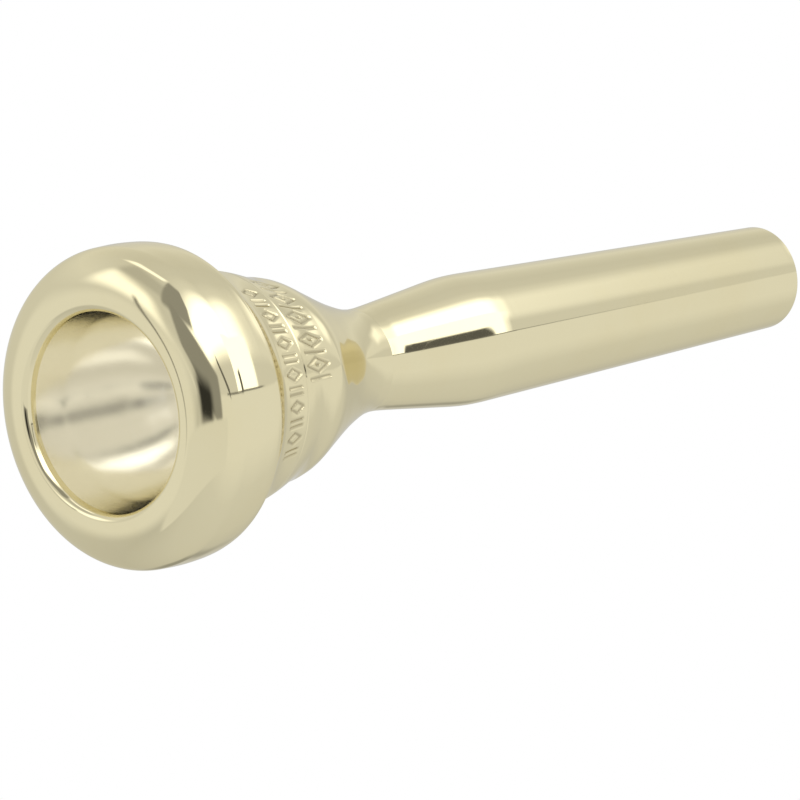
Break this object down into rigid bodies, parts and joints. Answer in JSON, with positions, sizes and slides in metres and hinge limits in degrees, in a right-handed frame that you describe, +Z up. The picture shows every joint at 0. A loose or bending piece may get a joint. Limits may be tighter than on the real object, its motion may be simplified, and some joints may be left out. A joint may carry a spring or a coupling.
{
  "type": "trumpet mouthpiece",
  "caption": "Brass trumpet mouthpiece with a rounded rim, a deep bowl-shaped cup, a narrow throat and a long tapered shank that pushes into the instrument's receiver.",
  "frame": {"origin": "on the bore's axis, at the mouth of the instrument's receiver, where it grips the shank", "axes": "+X runs along the bore from the rim to the shank end, the way the shank is pushed in; the part is turned about it, so +Y and +Z are any two radii, with +Z up as it is held level"},
  "size_m": [0.0887, 0.0278, 0.0278],
  "materials": {
    "plated_brass": "polished plating, pale gold"
  },
  "bodies": {
    "backbore": {"backbore": "plated_brass"},
    "cup": {"cup": "plated_brass"},
    "rim": {"rim": "plated_brass"}
  },
  "joints": [
    {"name": "cup_off", "type": "slide", "parent": "backbore", "child": "cup", "axis": [-1, 0, 0], "range_m": [0, 0.018]},
    {"name": "rim_off", "type": "slide", "parent": "cup", "child": "rim", "axis": [-1, 0, 0], "range_m": [0, 0.012]}
  ]
}
